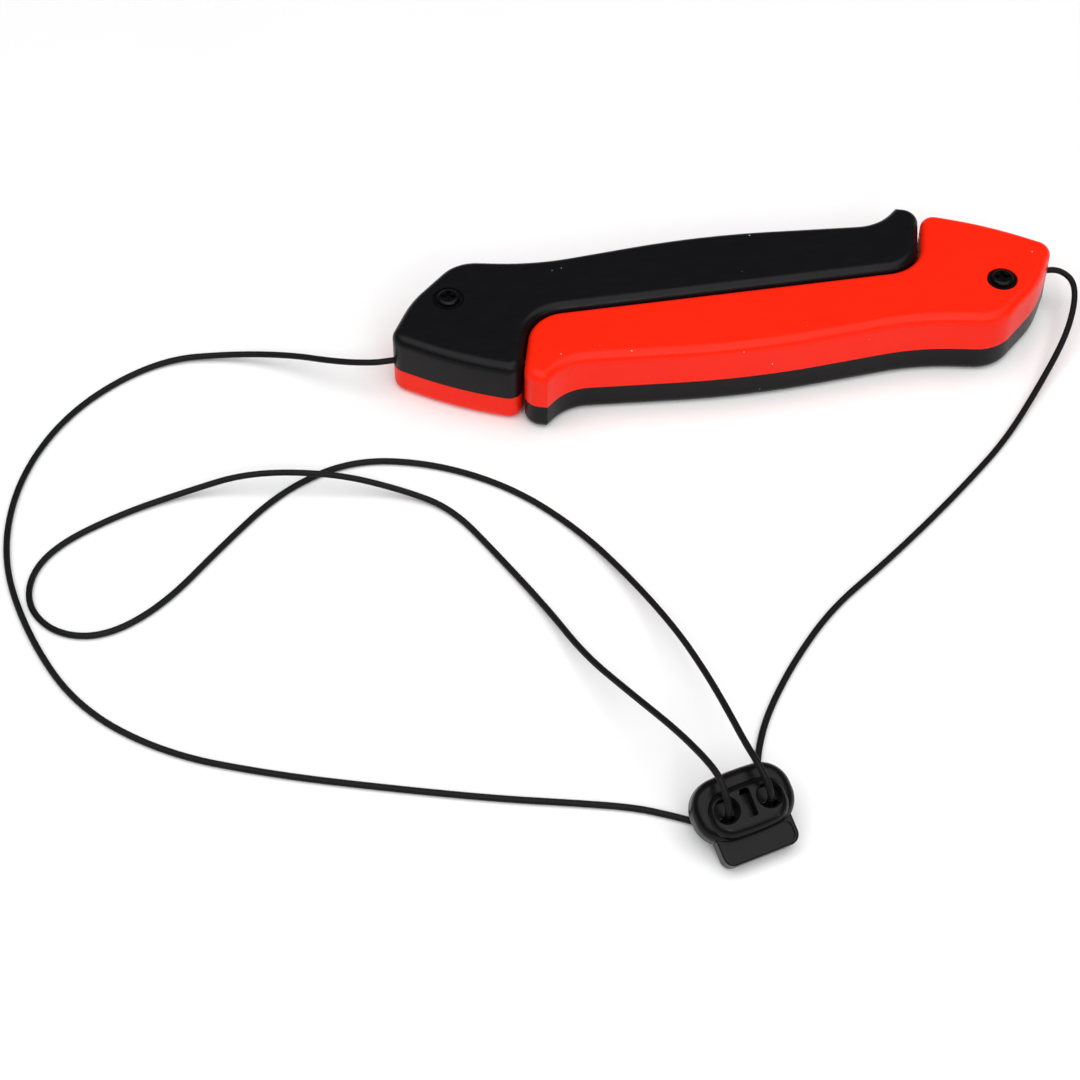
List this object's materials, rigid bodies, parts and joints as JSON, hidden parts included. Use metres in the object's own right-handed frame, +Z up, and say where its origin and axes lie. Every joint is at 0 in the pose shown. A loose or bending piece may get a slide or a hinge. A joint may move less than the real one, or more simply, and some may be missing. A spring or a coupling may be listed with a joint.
{
  "type": "ice safety picks",
  "caption": "Two hand picks with steel spikes, parked tail to head in each other, on a long neck cord with a sprung cord lock.",
  "frame": {"origin": "on the resting surface, under the centre of the parked pair of picks", "axes": "+X along the picks, towards the head of pick B; +Y towards the tail of pick A; +Z up"},
  "size_m": [0.2458, 0.1617, 0.0174],
  "materials": {
    "black_shell": "satin moulded nylon",
    "red_shell": "satin moulded nylon",
    "spike_steel": "ground",
    "black_screw": "black oxide",
    "cord": "braided elastic cord",
    "lock_plastic": "semi-gloss",
    "spring_steel": "bright wire"
  },
  "bodies": {
    "pick_a": {"pick_a_top_shell": "black_shell", "pick_a_bottom_shell": "red_shell", "pick_a_spike": "spike_steel", "pick_a_screw": "black_screw", "cord_knot_a": "cord", "cord_lead_a": "cord", "cord_loop": "cord", "cord_lead_b": "cord", "cord_lock_body": "lock_plastic", "cord_lock_spring": "spring_steel"},
    "pick_b": {"pick_b_top_shell": "red_shell", "pick_b_bottom_shell": "black_shell", "pick_b_spike": "spike_steel", "pick_b_screw": "black_screw", "cord_knot_b": "cord", "cord_lead_b_end": "cord"},
    "lock_plunger": {"cord_lock_plunger": "lock_plastic"}
  },
  "joints": [
    {"name": "pick_b_slide", "type": "slide", "parent": "pick_a", "child": "pick_b", "axis": [1, 0, 0], "range_m": [0, 0.066]},
    {"name": "lock_button", "type": "slide", "parent": "pick_a", "child": "lock_plunger", "axis": [-0.2326, 0.8682, 0.4384], "range_m": [0, 0.0028], "stiffness_N_per_m": 600, "springref_m": -0.004, "deforming": ["cord_lock_spring"]}
  ]
}
